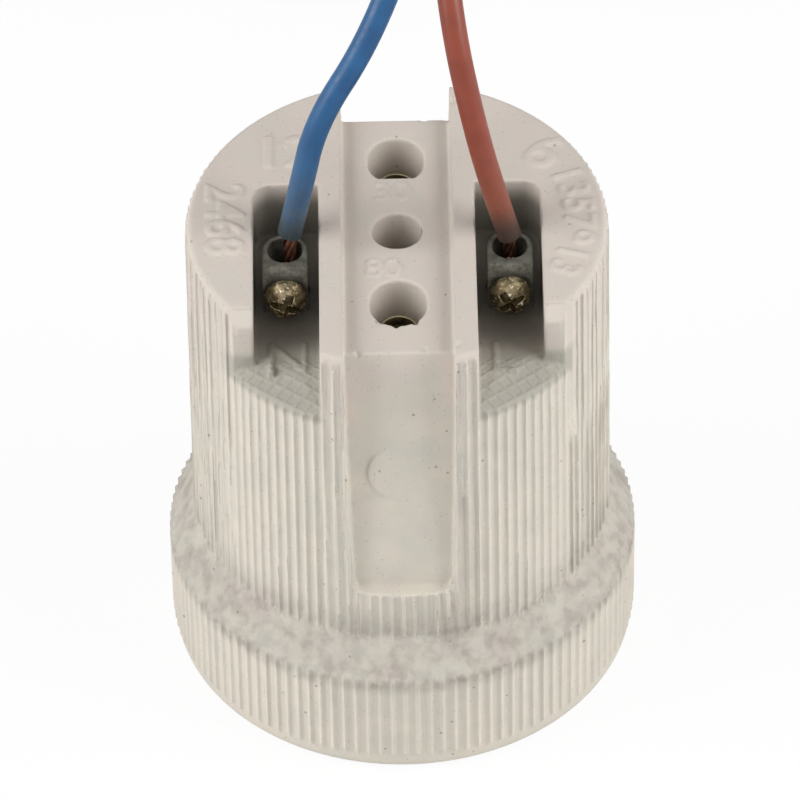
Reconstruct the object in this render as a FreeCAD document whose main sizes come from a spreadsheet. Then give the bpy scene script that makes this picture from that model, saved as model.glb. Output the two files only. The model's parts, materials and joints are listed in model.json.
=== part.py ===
"""Porcelain lamp holder for a 27 mm screw cap, as a parametric FreeCAD document.

Frame: +Z up, origin at the centre of the mouth rim, on which the holder stands.
-Y is the front, where the two clamp screws face. The neutral terminal is on the -X
side and the live terminal on the +X side. Millimetres and degrees.
"""
import FreeCAD, Part
import math
import os

import Sketcher

V = FreeCAD.Vector
doc = FreeCAD.newDocument("LampHolder")
sheet = doc.addObject("Spreadsheet::Sheet", "Sizes")


# ---------------------------------------------------------------- driving sizes

SIZES = {
    # porcelain, outside
    "holder_height": 53.5,
    "skirt_radius": 23.5,
    "shoulder_height": 13.0,
    "flare_height": 3.8,
    "foot_radius": 20.95,
    "top_radius": 20.65,
    "rim_rounding": 1.6,
    "top_rounding": 0.6,
    "plain_rim": 2.4,
    "rib_depth": 0.3,
    "rib_count": 120,
    # porcelain, inside
    "mouth_radius": 18.0,
    "recess_radius": 16.0,
    "recess_depth": 11.0,
    "ceiling_height": 40.0,
    "shell_clearance": 0.7,
    # channel, flutes and pockets of the rear face
    "channel_width": 10.8,
    "channel_depth": 1.5,
    "channel_rounding": 0.4,
    "flute_foot": 22.4,
    "flute_foot_width": 9.7,
    "flute_top_reach": 17.2,
    "flute_foot_reach": 19.25,
    "flute_rounding": 1.2,
    "rail_width": 2.2,
    "pocket_width": 6.4,
    "pocket_depth": 6.8,
    "pocket_back": 5.3,
    "pocket_front": 14.6,
    "pocket_rounding": 1.8,
    "pocket_lip": 2.2,
    "apron_slope": 15.0,
    # fixing holes and eyelets
    "hole_spacing": 20.4,
    "slot_width": 5.5,
    "slot_length": 6.3,
    "slot_depth": 5.0,
    "eyelet_bore": 3.2,
    "eyelet_wall": 0.35,
    "eyelet_clearance": 0.1,
    "eyelet_flange": 5.2,
    "eyelet_foot_flange": 4.6,
    "eyelet_flange_height": 0.45,
    # centre rivet
    "middle_hole": 4.9,
    "middle_hole_depth": 8.0,
    "rivet_shank": 2.8,
    "rivet_clearance": 0.15,
    "rivet_head": 4.4,
    "rivet_head_height": 0.9,
    "rivet_crown": 1.32,
    # threaded shell
    "thread_radius": 13.3,
    "thread_depth": 1.05,
    "thread_pitch": 3.629,
    "thread_turns": 5,
    "thread_fade": 1.2,
    "shell_wall": 0.4,
    "shell_lip": 12.0,
    "shell_corner": 0.8,
    "shell_collar": 2.2,
    "shell_window": 7.2,
    "window_gap": 1.3,
    "window_reach": 12.3,
    # centre contact
    "strip_thickness": 0.5,
    "strip_width": 5.0,
    "strip_offset": 1.2,
    "strip_reach": 11.5,
    "strip_bend": 5.0,
    "strip_bend_radius": 1.6,
    "tongue_top": 36.9,
    "tongue_low": 35.6,
    "tongue_tip": 2.8,
    "tongue_lift": 0.5,
    "button_radius": 1.25,
    "button_height": 0.8,
    "button_face": 0.7,
    "button_bevel": 0.48,
    "button_shank": 0.8,
    "button_clearance": 0.05,
    "button_neck": 0.25,
    "upset_radius": 1.06,
    "upset_crown": 0.75,
    "upset_height": 0.3,
    # terminals
    "terminal_offset": 10.9,
    "terminal_width": 4.4,
    "terminal_front": 5.6,
    "terminal_drop": 1.5,
    "wire_hole": 3.45,
    "wire_hole_offset": 2.5,
    "wire_hole_floor": 0.9,
    "terminal_chamfer": 0.35,
    "tenon_inset": 1.0,
    "tenon_offset": 2.3,
    "tenon_radius": 1.1,
    "tenon_clearance": 0.15,
    "tenon_head_radius": 1.55,
    "tenon_head_height": 0.5,
    # clamp screws
    "screw_depth": 4.2,
    "screw_shank": 2.9,
    "screw_clearance": 0.05,
    "screw_gap": 0.5,
    "screw_head": 4.2,
    "screw_head_height": 1.9,
    "screw_head_edge": 0.5,
    "screw_brow_radius": 1.8,
    "screw_brow_height": 1.18,
    "screw_crown_radius": 1.15,
    "screw_crown_height": 1.75,
    "screw_point_radius": 0.87,
    "screw_point_height": 0.4,
    "recess_width": 0.8,
    "recess_length": 2.9,
    "recess_drive": 1.1,
    # leads
    "lead_diameter": 2.4,
    "core_diameter": 1.4,
    "core_gap": 0.05,
    "lead_start_gap": 0.3,
    "core_bite": 4.2,
    "neutral_core_shift": 0.5,
    "live_core_shift": 0.0,
    "stripped_end": 7.0,
}

for row, (alias, number) in enumerate(SIZES.items(), start=1):
    sheet.set(f"A{row}", alias)
    sheet.set(f"B{row}", str(number))
    sheet.setAlias(f"B{row}", alias)
doc.recompute()


class Size:
    """A number together with the spreadsheet expression that gives it."""

    def __init__(self, value, text):
        self.value = value
        self.text = text

    def __add__(self, other):
        other = as_size(other)
        return Size(self.value + other.value, f"({self.text} + {other.text})")

    def __sub__(self, other):
        other = as_size(other)
        return Size(self.value - other.value, f"({self.text} - {other.text})")

    def __rsub__(self, other):
        return as_size(other) - self

    def __mul__(self, other):
        other = as_size(other)
        return Size(self.value * other.value, f"({self.text} * {other.text})")

    def __truediv__(self, other):
        other = as_size(other)
        return Size(self.value / other.value, f"({self.text} / {other.text})")

    def __neg__(self):
        return Size(-self.value, f"(0 - {self.text})")

    __radd__ = __add__
    __rmul__ = __mul__


def square_root(size):
    return Size(math.sqrt(size.value), f"sqrt({size.text})")


def as_size(number):
    """Give a Size unchanged, and a plain number as a Size."""
    if isinstance(number, Size):
        return number
    return Size(float(number), repr(float(number)))


def cell(alias):
    """Read one driving size of the sheet."""
    return Size(float(sheet.get(alias)), f"Sizes.{alias}")


# ---------------------------------------------------------------- helpers

def bind(item, **sizes):
    """Bind properties of a document object to the sheet."""
    for name, size in sizes.items():
        item.setExpression(name.replace("_", "."), as_size(size).text)


def put(item, x=0, y=0, z=0):
    """Bind an object's place to the sheet."""
    bind(item, Placement_Base_x=x, Placement_Base_y=y, Placement_Base_z=z)
    return item


def cylinder(name, radius, height, x=0, y=0, z=0):
    """An upright cylinder standing on (x, y, z)."""
    item = doc.addObject("Part::Cylinder", name)
    bind(item, Radius=radius, Height=height)
    return put(item, x, y, z)


def box(name, length, width, height, x=0, y=0, z=0):
    """A box whose lowest corner is (x, y, z)."""
    item = doc.addObject("Part::Box", name)
    bind(item, Length=length, Width=width, Height=height)
    return put(item, x, y, z)


def fuse(name, pieces):
    """One solid from several."""
    item = doc.addObject("Part::MultiFuse", name)
    item.Shapes = pieces
    item.Refine = True
    return item


def cut(name, base, tool):
    """What is left of base when tool is taken away."""
    item = doc.addObject("Part::Cut", name)
    item.Base = base
    item.Tool = tool
    item.Refine = True
    return item


def edges_where(shape, test):
    """The numbers of a shape's edges whose middle point and direction pass a test."""
    found = []
    for number, edge in enumerate(shape.Edges, start=1):
        middle = edge.valueAt((edge.FirstParameter + edge.LastParameter) / 2)
        span = edge.valueAt(edge.LastParameter) - edge.valueAt(edge.FirstParameter)
        if test(middle, span):
            found.append(number)
    return found


def round_edges(name, base, radius, test, kind="Part::Fillet"):
    """Round or bevel the edges that pass a test."""
    doc.recompute()
    item = doc.addObject(kind, name)
    item.Base = base
    item.Edges = [(number, radius.value, radius.value) for number in edges_where(base.Shape, test)]
    return item


def near(first, second, room=1e-3):
    """Whether two numbers are the same to within a thousandth."""
    return abs(first - as_size(second).value) < room


def turned_body(name, outline):
    """A body of revolution about Z: outline is a list of (radius, height) corners."""
    body = doc.addObject("PartDesign::Body", name)
    sketch = outline_sketch(body, name + "_section", "XZ_Plane", outline)
    turn = body.newObject("PartDesign::Revolution", name + "_turn")
    turn.Profile = (sketch, [""])
    turn.ReferenceAxis = (sketch, ["V_Axis"])
    turn.Angle = 360
    body.Tip = turn
    return body


def padded_body(name, plane, outline, length):
    """A plate cut to a closed outline, its thickness half on each side of the plane."""
    body = doc.addObject("PartDesign::Body", name)
    sketch = outline_sketch(body, name + "_outline", plane, outline)
    pad = body.newObject("PartDesign::Pad", name + "_pad")
    pad.Profile = (sketch, [""])
    pad.Midplane = True
    bind(pad, Length=length)
    body.Tip = pad
    return body


def outline_sketch(body, name, plane, outline):
    """A closed sketch of straight lines whose corners are bound to the sheet."""
    sketch = body.newObject("Sketcher::SketchObject", name)
    support = [item for item in body.Origin.OriginFeatures if item.Role == plane][0]
    sketch.AttachmentSupport = [(support, "")]
    sketch.MapMode = "FlatFace"
    corners = [(as_size(across), as_size(up)) for across, up in outline]
    count = len(corners)
    for index, (across, up) in enumerate(corners):
        next_across, next_up = corners[(index + 1) % count]
        start = V(across.value, up.value, 0)
        end = V(next_across.value, next_up.value, 0)
        sketch.addGeometry(Part.LineSegment(start, end), False)
    for index in range(count):
        sketch.addConstraint(Sketcher.Constraint("Coincident", index, 2, (index + 1) % count, 1))
    for index, corner in enumerate(corners):
        for direction, size in zip(("DistanceX", "DistanceY"), corner):
            datum = Sketcher.Constraint(direction, -1, 1, index, 1, size.value)
            number = sketch.addConstraint(datum)
            sketch.setExpression(f"Constraints[{number}]", size.text)
    return sketch


# ---------------------------------------------------------------- shared places

holder_height = cell("holder_height")
ceiling = cell("ceiling_height")
channel_floor = holder_height - cell("channel_depth")
pocket_floor = holder_height - cell("pocket_depth")
rail_inner = cell("channel_width") / 2
rail_outer = rail_inner + cell("rail_width")
pocket_outer = rail_outer + cell("pocket_width")
hole_reach = cell("hole_spacing") / 2
eyelet_outer = cell("eyelet_bore") / 2 + cell("eyelet_wall")
eyelet_seat = channel_floor - cell("slot_depth")
rivet_seat = channel_floor - cell("middle_hole_depth")
shell_outer = cell("thread_radius") + cell("shell_wall")
tenon_reach = cell("terminal_offset") - cell("tenon_inset")
terminal_top = holder_height - cell("terminal_drop")
screw_axis = holder_height - cell("screw_depth")
strip_under = ceiling - cell("strip_thickness")
shell_under = ceiling - cell("shell_wall")
SIDES = {"neutral": -1, "live": 1}
ENDS = {"front": -1, "rear": 1}
OVERSHOOT = 12.0


# ---------------------------------------------------------------- porcelain body

def porcelain_blank():
    """The turned form: skirt, flare, body, mouth recess and shell bore, without its ribs."""
    skirt_root = cell("skirt_radius") - cell("rib_depth")
    foot_root = cell("foot_radius") - cell("rib_depth")
    top_root = cell("top_radius") - cell("rib_depth")
    bore = shell_outer + cell("shell_clearance")
    outline = [
        (0, holder_height),
        (0, ceiling),
        (bore, ceiling),
        (bore, cell("recess_depth")),
        (cell("recess_radius"), cell("recess_depth")),
        (cell("mouth_radius"), 0),
        (skirt_root, 0),
        (skirt_root, cell("shoulder_height")),
        (foot_root, cell("shoulder_height") + cell("flare_height")),
        (top_root, holder_height),
    ]
    blank = turned_body("porcelain_turned", outline)
    rounded = round_edges(
        "porcelain_rim", blank, cell("rim_rounding"),
        lambda middle, span: near(middle.z, 0) and middle.Length > cell("mouth_radius").value + 1)
    return round_edges(
        "porcelain_top", rounded, cell("top_rounding"),
        lambda middle, span: near(middle.z, holder_height) and middle.Length > 1)


def rib_ring(radius, height):
    """A closed zigzag: one crest and one valley for each rib."""
    count = int(cell("rib_count").value)
    corners = []
    for step in range(2 * count):
        angle = math.pi * step / count
        reach = radius - (step % 2) * 2 * cell("rib_depth").value
        corners.append(V(reach * math.sin(angle), reach * math.cos(angle), height))
    return Part.makePolygon(corners + corners[:1])


def ribs(name, low_radius, low, high_radius, high):
    """A band of upright ribs between two heights, tapering with the body."""
    band = doc.addObject("Part::Feature", name)
    rings = [rib_ring(low_radius.value, low.value), rib_ring(high_radius.value, high.value)]
    band.Shape = Part.makeLoft(rings, True, True)
    return band


def porcelain_ribs():
    """The ribs of the skirt and of the body above it."""
    flare_top = cell("shoulder_height") + cell("flare_height")
    skirt = cell("skirt_radius")
    return [
        ribs("skirt_ribs", skirt, cell("plain_rim"), skirt, cell("shoulder_height")),
        ribs("body_ribs", cell("foot_radius"), flare_top,
             cell("top_radius"), holder_height - cell("top_rounding")),
    ]


def porcelain_cavity():
    """The mouth recess and shell bore, opened again after the ribs are added."""
    bore = shell_outer + cell("shell_clearance")
    outline = [
        (0, -1),
        (cell("mouth_radius"), -1),
        (cell("mouth_radius"), 0),
        (cell("recess_radius"), cell("recess_depth")),
        (bore, cell("recess_depth")),
        (bore, ceiling),
        (0, ceiling),
    ]
    return turned_body("cavity_form", outline)


def channel_form():
    """The shallow channel between the two rails of the rear face."""
    reach = cell("top_radius") + OVERSHOOT
    form = box("channel_box", cell("channel_width"), reach * 2, cell("channel_depth") + OVERSHOOT,
               -rail_inner, -reach, channel_floor)
    return round_edges(
        "channel_form", form, cell("channel_rounding"),
        lambda middle, span: near(middle.z, channel_floor) and abs(span.y) > 1)


def flute_form(end):
    """The sloping flute that carries the channel down one side of the body."""
    foot_half = cell("flute_foot_width").value / 2
    top_half = rail_inner.value
    foot = cell("flute_foot").value
    rise = channel_floor.value - foot
    growth = (holder_height.value + 1 - foot) / rise
    reach = cell("flute_foot_reach").value
    top_reach = reach + (cell("flute_top_reach").value - reach) * growth
    outside = cell("skirt_radius").value + OVERSHOOT
    rings = []
    for half, inner, height in ((foot_half, reach, foot),
                                (foot_half + (top_half - foot_half) * growth, top_reach,
                                 holder_height.value + 1)):
        corners = [V(-half, inner, height), V(half, inner, height),
                   V(half, outside, height), V(-half, outside, height)]
        rings.append(Part.makePolygon(corners + corners[:1]))
    form = doc.addObject("Part::Feature", end + "_flute_wedge")
    form.Shape = Part.makeLoft(rings, True, True)
    form.Placement = FreeCAD.Placement(V(0, 0, 0), FreeCAD.Rotation(V(0, 0, 1), 90 + 90 * -ENDS[end]))
    return round_edges(
        end + "_flute_form", form, cell("flute_rounding"),
        lambda middle, span: near(middle.z, foot) and abs(span.y) > 1)


def pocket_form(side):
    """A terminal pocket, open at the front, its outer wall turned outward at the mouth."""
    outer = cell("skirt_radius") + OVERSHOOT
    sign = SIDES[side]
    outline = [
        (rail_outer * sign, cell("pocket_back")),
        (pocket_outer * sign, cell("pocket_back")),
        (pocket_outer * sign, -cell("pocket_front")),
        (outer * sign, -cell("pocket_front")),
        (outer * sign, -outer),
        (rail_outer * sign, -outer),
    ]
    body = padded_body(side + "_pocket_plan", "XY_Plane", outline, (cell("pocket_depth") + 1) * 2)
    put(body, 0, 0, holder_height + 1)
    back = round_edges(
        side + "_pocket_back", body, cell("pocket_rounding"),
        lambda middle, span: near(middle.y, cell("pocket_back")) and abs(span.z) > 1
        and near(abs(middle.x), pocket_outer))
    return round_edges(
        side + "_pocket_form", back, cell("pocket_lip"),
        lambda middle, span: near(middle.y, -cell("pocket_front")) and abs(span.z) > 1
        and near(abs(middle.x), pocket_outer))


def apron_form(side):
    """The wedge that lets the pocket's floor fall away towards the front."""
    drop = math.tan(math.radians(cell("apron_slope").value))
    run = cell("skirt_radius").value
    start = -cell("pocket_front").value
    width = run - rail_outer.value
    corners = [V(0, start, 0), V(0, start - run, -run * drop), V(0, start - run, 1), V(0, start, 1)]
    form = doc.addObject("Part::Feature", side + "_apron_form")
    form.Shape = Part.Face(Part.makePolygon(corners + corners[:1])).extrude(V(width, 0, 0))
    inner = rail_outer.value if SIDES[side] > 0 else -rail_outer.value - width
    form.Placement = FreeCAD.Placement(V(inner, 0, pocket_floor.value), FreeCAD.Rotation())
    return form


def fixing_hole_forms(end):
    """A slotted counterbore in the channel and the eyelet's bore below it."""
    reach = hole_reach * ENDS[end]
    half_straight = (cell("slot_length") - cell("slot_width")) / 2
    radius = cell("slot_width") / 2
    depth = cell("slot_depth") + OVERSHOOT
    bore = eyelet_outer + cell("eyelet_clearance")
    return [
        cylinder(end + "_slot_near", radius, depth, 0, reach - half_straight, eyelet_seat),
        cylinder(end + "_slot_far", radius, depth, 0, reach + half_straight, eyelet_seat),
        box(end + "_slot_middle", cell("slot_width"), half_straight * 2, depth,
            -radius, reach - half_straight, eyelet_seat),
        cylinder(end + "_eyelet_bore", bore, OVERSHOOT, 0, reach, ceiling - 1),
    ]


def ceramic_body():
    """The one-piece pressed porcelain body."""
    ribbed = fuse("porcelain_ribbed", [porcelain_blank()] + porcelain_ribs())
    forms = [porcelain_cavity(), channel_form()]
    forms += [flute_form(end) for end in ENDS]
    for side in SIDES:
        forms.append(pocket_form(side))
        forms.append(apron_form(side))
        forms.append(cylinder(side + "_tenon_bore", cell("tenon_radius") + cell("tenon_clearance"),
                              OVERSHOOT, tenon_reach * SIDES[side], -cell("tenon_offset"), ceiling - 1))
    for end in ENDS:
        forms += fixing_hole_forms(end)
    forms.append(cylinder("middle_counterbore", cell("middle_hole") / 2,
                          cell("middle_hole_depth") + OVERSHOOT, 0, 0, rivet_seat))
    forms.append(cylinder("middle_bore", cell("rivet_shank") / 2 + cell("rivet_clearance"),
                          OVERSHOOT, 0, 0, ceiling - 1))
    return cut("ceramic_body", ribbed, fuse("porcelain_forms", forms))


# ---------------------------------------------------------------- threaded shell

RING_STEPS = 30
ROWS_PER_PITCH = 5


def thread_ring(height, skin, inset=0):
    """One polygon round the shell at a height, its radius set by the helix it crosses."""
    low = (cell("shell_lip") + cell("shell_collar")).value
    length = (cell("thread_pitch") * cell("thread_turns")).value
    inside = min(height - low, low + length - height)
    share = min(max(inside / cell("thread_fade").value, 0), 1)
    corners = []
    for step in range(RING_STEPS):
        turn = step / RING_STEPS
        wave = 0.5 - 0.5 * math.cos(2 * math.pi * ((height - low) / cell("thread_pitch").value - turn))
        radius = cell("thread_radius").value + skin - cell("thread_depth").value * share * wave - inset
        angle = 2 * math.pi * turn
        corners.append(V(radius * math.cos(angle), radius * math.sin(angle), height))
    return Part.makePolygon(corners + corners[:1])


def thread_form(name, skin, top, below):
    """A solid loft through the rings of one skin of the shell, closed at both ends."""
    low = (cell("shell_lip") + cell("shell_collar")).value
    length = (cell("thread_pitch") * cell("thread_turns")).value
    rows = int(cell("thread_turns").value) * ROWS_PER_PITCH
    heights = [cell("shell_lip").value - below]
    heights += [low + length * row / rows for row in range(rows + 1)]
    heights.append((ceiling - cell("shell_corner")).value)
    rings = [thread_ring(height, skin) for height in heights]
    rings.append(thread_ring(top, skin, cell("shell_corner").value))
    form = doc.addObject("Part::Feature", name)
    form.Shape = Part.makeLoft(rings, True, True)
    return form


def screw_shell():
    """The nickel-plated threaded shell with its pierced base."""
    strip_half = cell("strip_width") / 2 + cell("window_gap")
    low = shell_under - cell("shell_wall")
    depth = cell("shell_wall") * 3
    forms = [
        cylinder("shell_window_round", cell("shell_window"), depth, 0, 0, low),
        box("shell_window_slot", cell("window_reach"), strip_half * 2, depth,
            0, -cell("strip_offset") - strip_half, low),
        cylinder("shell_tenon_hole", cell("tenon_radius") + cell("tenon_clearance"), depth,
                 -tenon_reach, -cell("tenon_offset"), low),
    ]
    for end in ENDS:
        forms.append(cylinder(end + "_shell_hole", eyelet_outer + cell("eyelet_clearance"), depth,
                              0, hole_reach * ENDS[end], low))
    forms.append(thread_form("shell_inside", 0, shell_under.value, 1))
    outside = thread_form("shell_outside", cell("shell_wall").value, ceiling.value, 0)
    return cut("screw_shell", outside, fuse("shell_forms", forms))


# ---------------------------------------------------------------- eyelets and rivet

def eyelet(end):
    """A tubular rivet that holds the shell's base up against the porcelain."""
    bore = cell("eyelet_bore") / 2
    flange = cell("eyelet_flange_height")
    body = turned_body(end + "_eyelet", [
        (bore, shell_under - flange),
        (cell("eyelet_foot_flange") / 2, shell_under - flange),
        (cell("eyelet_foot_flange") / 2, shell_under),
        (eyelet_outer, shell_under),
        (eyelet_outer, eyelet_seat),
        (cell("eyelet_flange") / 2, eyelet_seat),
        (cell("eyelet_flange") / 2, eyelet_seat + flange),
        (bore, eyelet_seat + flange),
    ])
    return put(body, 0, hole_reach * ENDS[end], 0)


def centre_rivet():
    """The solid rivet that holds the centre contact's foot, from the middle hole."""
    shank = cell("rivet_shank") / 2
    head = cell("rivet_head") / 2
    rise = cell("rivet_head_height")
    return turned_body("centre_rivet", [
        (0, strip_under - rise),
        (head * 0.6, strip_under - rise),
        (head, strip_under - rise / 2),
        (head, strip_under),
        (shank, strip_under),
        (shank, rivet_seat),
        (head, rivet_seat),
        (head, rivet_seat + rise / 2),
        (cell("rivet_crown"), rivet_seat + rise),
        (0, rivet_seat + rise),
    ])


# ---------------------------------------------------------------- centre contact

def centre_contact_strip():
    """The hairpin strip: a flat foot on the ceiling and a sprung leg folded back under it."""
    thick = cell("strip_thickness")
    bend = -cell("strip_bend")
    outline = [
        (cell("strip_reach"), ceiling),
        (bend, ceiling),
        (bend, cell("tongue_top") - thick),
        (0, cell("tongue_low") - thick),
        (cell("tongue_tip"), cell("tongue_low") - thick + cell("tongue_lift")),
        (cell("tongue_tip"), cell("tongue_low") + cell("tongue_lift")),
        (0, cell("tongue_low")),
        (bend + thick, cell("tongue_top")),
        (bend + thick, strip_under),
        (cell("strip_reach"), strip_under),
    ]
    plate = padded_body("strip_plate", "XZ_Plane", outline, cell("strip_width"))
    put(plate, 0, -cell("strip_offset"), 0)
    outside = round_edges(
        "strip_outer_bend", plate, cell("strip_bend_radius"),
        lambda middle, span: near(middle.x, bend) and abs(span.y) > 1)
    inside = round_edges(
        "strip_inner_bend", outside, cell("strip_bend_radius") - thick,
        lambda middle, span: near(middle.x, bend + thick) and abs(span.y) > 1)
    holes = [
        cylinder("strip_tenon_hole", cell("tenon_radius") + cell("tenon_clearance"), thick * 3,
                 tenon_reach, -cell("tenon_offset"), strip_under - thick),
        cylinder("strip_rivet_hole", cell("rivet_shank") / 2 + cell("rivet_clearance"), thick * 3,
                 0, 0, strip_under - thick),
        cylinder("strip_button_hole", cell("button_shank") + cell("button_clearance"), thick * 4,
                 0, 0, cell("tongue_low") - thick * 2),
    ]
    return cut("centre_contact_strip", inside, fuse("strip_holes", holes))


def contact_button():
    """The riveted contact button that a lamp's cap presses upward."""
    low = cell("tongue_low") - cell("strip_thickness") - cell("button_neck")
    high = cell("tongue_low") + cell("button_neck")
    foot = low - cell("button_height")
    top = high + cell("upset_height")
    return turned_body("contact_button", [
        (0, foot),
        (cell("button_face"), foot),
        (cell("button_radius"), foot + cell("button_bevel")),
        (cell("button_radius"), low),
        (cell("button_shank"), low),
        (cell("button_shank"), high),
        (cell("upset_radius"), high),
        (cell("upset_crown"), top),
        (0, top),
    ])


# ---------------------------------------------------------------- terminals

def terminal(side):
    """A D-shaped pillar terminal with its wire hole, tapped front hole and riveted tenon."""
    sign = SIDES[side]
    half = cell("terminal_width") / 2
    rise = terminal_top - pocket_floor
    centre = cell("terminal_offset") * sign
    back = -cell("wire_hole_offset")
    front = -cell("terminal_front")
    seat = shell_under if side == "neutral" else strip_under
    head_low = seat - cell("tenon_head_height")
    tenon_x = tenon_reach * sign
    tenon_y = -cell("tenon_offset")
    block = fuse(side + "_block", [
        box(side + "_block_front", half * 2, back - front, rise, centre - half, front, pocket_floor),
        cylinder(side + "_block_back", half, rise, centre, back, pocket_floor),
    ])
    edged = round_edges(
        side + "_block_edged", block, cell("terminal_chamfer"),
        lambda middle, span: near(middle.z, terminal_top) and near(middle.y, front),
        "Part::Chamfer")
    whole = fuse(side + "_block_tenon", [
        edged,
        cylinder(side + "_tenon", cell("tenon_radius"), pocket_floor - head_low,
                 tenon_x, tenon_y, head_low),
        cylinder(side + "_tenon_head", cell("tenon_head_radius"), cell("tenon_head_height"),
                 tenon_x, tenon_y, head_low),
    ])
    tapped = cylinder(side + "_tapped_hole", cell("screw_shank") / 2 + cell("screw_clearance"),
                      back - front, centre, back, screw_axis)
    tapped.Placement.Rotation = FreeCAD.Rotation(V(1, 0, 0), 90)
    wire_floor = pocket_floor + cell("wire_hole_floor")
    holes = fuse(side + "_terminal_holes", [
        cylinder(side + "_wire_hole", cell("wire_hole") / 2, rise, centre, back, wire_floor),
        tapped,
    ])
    return cut(side + "_terminal", whole, holes)


def core_line(side):
    """How far in front of the axis line a lead's core lies: against the wire hole's back wall."""
    room = cell("wire_hole") / 2 - cell("core_diameter") / 2 - cell("core_gap")
    shift = cell(side + "_core_shift")
    return cell("wire_hole_offset") - square_root(room * room - shift * shift)


def clamp_screw(side):
    """A pan-head clamp screw with a cross recess, its point against the lead's core."""
    head = cell("screw_head") / 2
    shank = cell("screw_shank") / 2
    face = cell("terminal_front") + cell("screw_gap")
    point = core_line(side) + cell("core_diameter") / 2 + cell("core_gap")
    length = face - point
    rise = cell("screw_head_height")
    blank = turned_body(side + "_screw_blank", [
        (0, -length),
        (cell("screw_point_radius"), -length),
        (shank, cell("screw_point_height") - length),
        (shank, 0),
        (head, 0),
        (head, cell("screw_head_edge")),
        (cell("screw_brow_radius"), cell("screw_brow_height")),
        (cell("screw_crown_radius"), cell("screw_crown_height")),
        (0, rise),
    ])
    slots = []
    for index, turn in enumerate((45, 135)):
        slot = box(f"{side}_recess_{index}", cell("recess_length"), cell("recess_width"), rise)
        centre = V(-cell("recess_length").value / 2, -cell("recess_width").value / 2,
                   (rise - cell("recess_drive")).value)
        rotation = FreeCAD.Rotation(V(0, 0, 1), turn)
        place = rotation.multVec(centre)
        put(slot, place.x, place.y, rise - cell("recess_drive"))
        slot.Placement.Rotation = rotation
        slots.append(slot)
    screw = cut(side + "_clamp_screw", blank, fuse(side + "_recess", slots))
    screw.Placement.Rotation = FreeCAD.Rotation(V(1, 0, 0), 90)
    return put(screw, cell("terminal_offset") * SIDES[side], -face, screw_axis)


# ---------------------------------------------------------------- leads

ARC_SHARE = 0.45
LEAD_ROUTES = {
    "neutral": [
        (-9.2, -1.3, 59.0),
        (-7.6, -0.2, 66.5),
        (-2.4, 2.2, 74.5),
        (1.8, 7.5, 83.5),
        (1.0, 17.0, 92.0),
        (-2.5, 29.5, 97.0),
        (-7.0, 43.0, 95.0),
        (-11.5, 55.5, 86.5),
        (-15.5, 66.5, 72.5),
        (-18.6, 75.0, 55.0),
        (-20.6, 81.0, 38.6),
        (-21.5, 86.0, 25.0),
        (-21.2, 90.0, 15.0),
        (-18.4, 92.5, 8.0),
        (-13.3, 94.1, 3.4),
        (-7.2, 94.9, 1.2),
        (-0.7, 95.0, 1.2),
    ],
    "live": [
        (9.2, -1.3, 59.0),
        (7.4, -0.2, 67.0),
        (5.7, 2.6, 75.5),
        (4.6, 10.0, 84.0),
        (5.2, 18.5, 92.5),
        (7.0, 31.5, 98.5),
        (9.2, 45.5, 97.5),
        (11.6, 58.0, 88.5),
        (14.0, 68.5, 73.0),
        (16.7, 76.5, 55.0),
        (18.9, 82.5, 37.5),
        (19.6, 86.8, 22.8),
        (18.4, 90.0, 12.8),
        (14.9, 92.5, 6.3),
    ],
}


def lead_start(side):
    """Where a lead's insulation ends, just above its terminal's wire hole."""
    across = (cell("terminal_offset") - cell(side + "_core_shift")) * SIDES[side]
    return V(across.value, -core_line(side).value, (terminal_top + cell("lead_start_gap")).value)


def lead_path(points):
    """Straight runs joined by tangent arcs, each as large as its two runs allow."""
    edges = []
    start = points[0]
    radii = []
    for before, corner, after in zip(points, points[1:], points[2:]):
        inward = (before - corner).normalize()
        outward = (after - corner).normalize()
        half_turn = (math.pi - inward.getAngle(outward)) / 2
        reach = ARC_SHARE * min((before - corner).Length, (after - corner).Length)
        radius = reach / math.tan(half_turn)
        radii.append(radius)
        first = corner + inward * reach
        last = corner + outward * reach
        middle_way = (inward + outward).normalize()
        middle = corner + middle_way * (radius / math.cos(half_turn) - radius)
        edges.append(Part.LineSegment(start, first).toShape())
        edges.append(Part.Arc(first, middle, last).toShape())
        start = last
    edges.append(Part.LineSegment(start, points[-1]).toShape())
    return Part.Wire(edges), radii


def lead(side):
    """One lead's insulation, as a plain tube along its route."""
    points = [lead_start(side)] + [V(*point) for point in LEAD_ROUTES[side]]
    path, radii = lead_path(points)
    radius = cell("lead_diameter").value / 2
    heading = points[1] - points[0]
    ring = Part.Wire(Part.makeCircle(radius, points[0], heading))
    item = doc.addObject("Part::Feature", side + "_lead")
    item.Shape = path.makePipeShell([ring], True, False)
    ideal = math.pi * radius ** 2 * path.Length
    print(side, "lead length", round(path.Length, 1), "radii", [round(radius, 1) for radius in radii],
          "volume ratio", round(item.Shape.Volume / ideal, 4))
    return item


def lead_core(side):
    """The bare core of a lead inside its terminal, where the screw bites."""
    item = doc.addObject("Part::Feature", side + "_lead_core")
    start = lead_start(side)
    heading = (V(*LEAD_ROUTES[side][0]) - start).normalize()
    reach = cell("lead_start_gap").value
    bend = start - heading * reach
    foot = V(bend.x, bend.y, bend.z - cell("core_bite").value)
    radius = cell("core_diameter").value / 2
    path = Part.Wire([Part.LineSegment(start, bend).toShape(), Part.LineSegment(bend, foot).toShape()])
    ring = Part.Wire(Part.makeCircle(radius, start, -heading))
    item.Shape = path.makePipeShell([ring], True, False, 1)
    return item


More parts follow.
